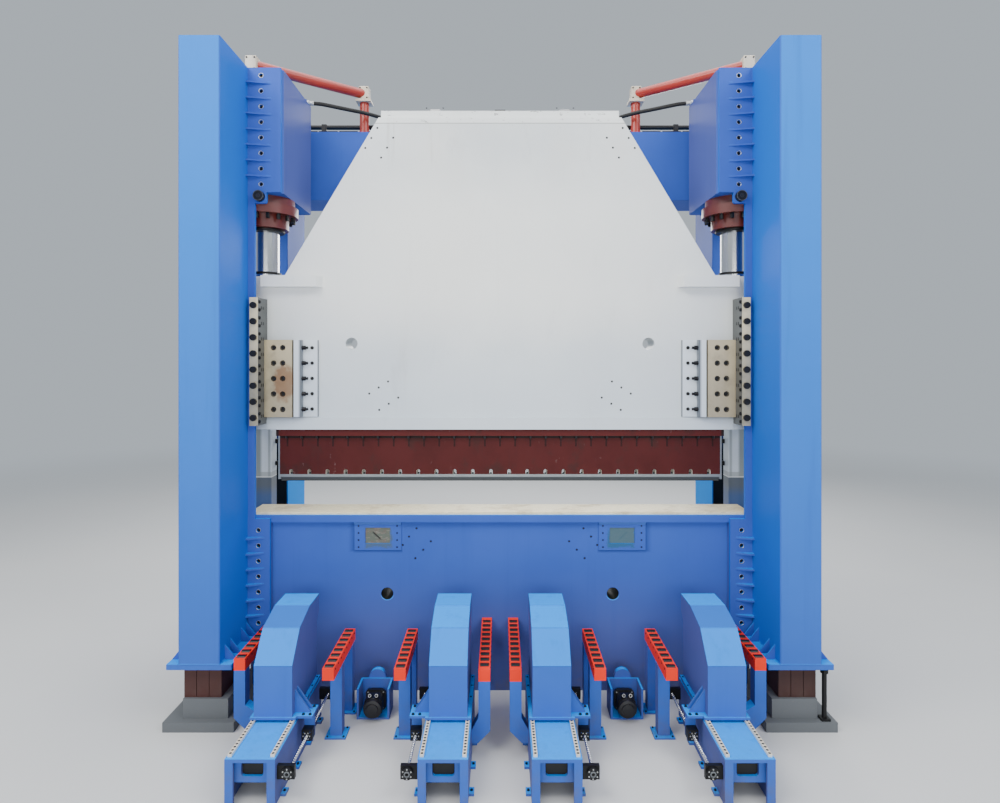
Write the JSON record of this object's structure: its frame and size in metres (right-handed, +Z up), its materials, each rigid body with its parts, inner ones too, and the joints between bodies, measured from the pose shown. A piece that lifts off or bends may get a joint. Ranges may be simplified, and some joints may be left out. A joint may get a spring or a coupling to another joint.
{
  "type": "hydraulic press brake",
  "caption": "Large closed-frame hydraulic press brake with a plate ram, punch beam, bed and motor-driven sheet followers on the floor.",
  "frame": {"origin": "on the floor, at the middle of the machine's length and depth", "axes": "+X along the bed to the operator's right, +Y away from the operator, +Z up"},
  "size_m": [6.8, 3.97, 7.431],
  "materials": {
    "blue_paint": "gloss machine enamel, light blue",
    "grey_paint": "semi-gloss light grey paint",
    "oxide_paint": "red-oxide primer",
    "cylinder_paint": "red-oxide enamel",
    "pipe_paint": "orange-red enamel",
    "bar_paint": "bright orange-red enamel",
    "cream_paint": "cream primer",
    "block_paint": "red-brown primer",
    "motor_paint": "grey-blue enamel",
    "table_steel": "planed steel",
    "bright_steel": "machined steel",
    "chrome_rod": "hard chrome, ground",
    "black_steel": "blackened steel",
    "grey_iron": "scaled steel plate",
    "hose_rubber": "black hydraulic hose"
  },
  "bodies": {
    "frame": {"arm_posts": "blue_paint", "arm_rollers": "black_steel", "bed": "blue_paint", "cylinder_block_left": "blue_paint", "cylinder_block_right": "blue_paint", "cylinder_left": "cylinder_paint", "cylinder_right": "cylinder_paint", "drive_brackets": "blue_paint", "drive_motors": "black_steel", "flange_bolts": "black_steel", "follower_base_1": "blue_paint", "follower_base_2": "blue_paint", "follower_base_3": "blue_paint", "follower_base_4": "blue_paint", "foundation_plates": "grey_iron", "frame_screws": "black_steel", "front_column_left": "blue_paint", "front_column_right": "blue_paint", "gib_left": "bright_steel", "gib_right": "bright_steel", "glands": "cylinder_paint", "hose_left": "hose_rubber", "hose_right": "hose_rubber", "levelling_jack": "black_steel", "linear_rails": "bright_steel", "oil_tank": "blue_paint", "pipe_elbows": "cream_paint", "pressure_lines": "black_steel", "pump": "motor_paint", "pump_motor": "motor_paint", "rear_column_left": "blue_paint", "rear_column_right": "blue_paint", "rear_guides": "grey_paint", "roller_arms": "bar_paint", "screw_bearings": "black_steel", "side_ties": "blue_paint", "suction_pipe_left": "pipe_paint", "suction_pipe_right": "pipe_paint", "support_blocks": "block_paint", "table_plate": "table_steel", "valve_manifolds": "bright_steel"},
    "ram": {"ram": "grey_paint", "piston_rod_left": "chrome_rod", "piston_rod_right": "chrome_rod", "punch_beam": "oxide_paint", "punch_bar": "bright_steel", "punch_end_plates": "bright_steel", "punch_bolts": "black_steel", "guide_shoe_left": "bright_steel", "guide_shoe_right": "bright_steel", "shoe_keepers": "grey_paint", "shoe_screws": "black_steel"},
    "carriage_1": {"carriage_1": "blue_paint"},
    "feed_screw_1": {"feed_screw_1": "chrome_rod"},
    "carriage_2": {"carriage_2": "blue_paint"},
    "feed_screw_2": {"feed_screw_2": "chrome_rod"},
    "carriage_3": {"carriage_3": "blue_paint"},
    "feed_screw_3": {"feed_screw_3": "chrome_rod"},
    "carriage_4": {"carriage_4": "blue_paint"},
    "feed_screw_4": {"feed_screw_4": "chrome_rod"}
  },
  "joints": [
    {"name": "ram_slide", "type": "slide", "parent": "frame", "child": "ram", "axis": [0, 0, 1], "range_m": [-0.07, 0.43]},
    {"name": "carriage_slide_1", "type": "slide", "parent": "frame", "child": "carriage_1", "axis": [0, -1, 0], "range_m": [-0.03, 0.4]},
    {"name": "screw_turn_1", "type": "hinge", "parent": "frame", "child": "feed_screw_1", "pos_m": [-1.795, -0.875, 0.262], "axis": [0, -1, 0], "range_deg": [-541, 7201]},
    {"name": "carriage_slide_2", "type": "slide", "parent": "frame", "child": "carriage_2", "axis": [0, -1, 0], "range_m": [-0.03, 0.4]},
    {"name": "screw_turn_2", "type": "hinge", "parent": "frame", "child": "feed_screw_2", "pos_m": [-0.785, -0.875, 0.262], "axis": [0, -1, 0], "range_deg": [-541, 7201]},
    {"name": "carriage_slide_3", "type": "slide", "parent": "frame", "child": "carriage_3", "axis": [0, -1, 0], "range_m": [-0.03, 0.4]},
    {"name": "screw_turn_3", "type": "hinge", "parent": "frame", "child": "feed_screw_3", "pos_m": [0.785, -0.875, 0.262], "axis": [0, -1, 0], "range_deg": [-541, 7201]},
    {"name": "carriage_slide_4", "type": "slide", "parent": "frame", "child": "carriage_4", "axis": [0, -1, 0], "range_m": [-0.03, 0.4]},
    {"name": "screw_turn_4", "type": "hinge", "parent": "frame", "child": "feed_screw_4", "pos_m": [1.795, -0.875, 0.262], "axis": [0, -1, 0], "range_deg": [-541, 7201]}
  ],
  "couplings": [
    {"joint": "screw_turn_1", "follows": "carriage_slide_1", "rad_per_m": 314.16},
    {"joint": "screw_turn_2", "follows": "carriage_slide_2", "rad_per_m": 314.16},
    {"joint": "screw_turn_3", "follows": "carriage_slide_3", "rad_per_m": 314.16},
    {"joint": "screw_turn_4", "follows": "carriage_slide_4", "rad_per_m": 314.16}
  ]
}
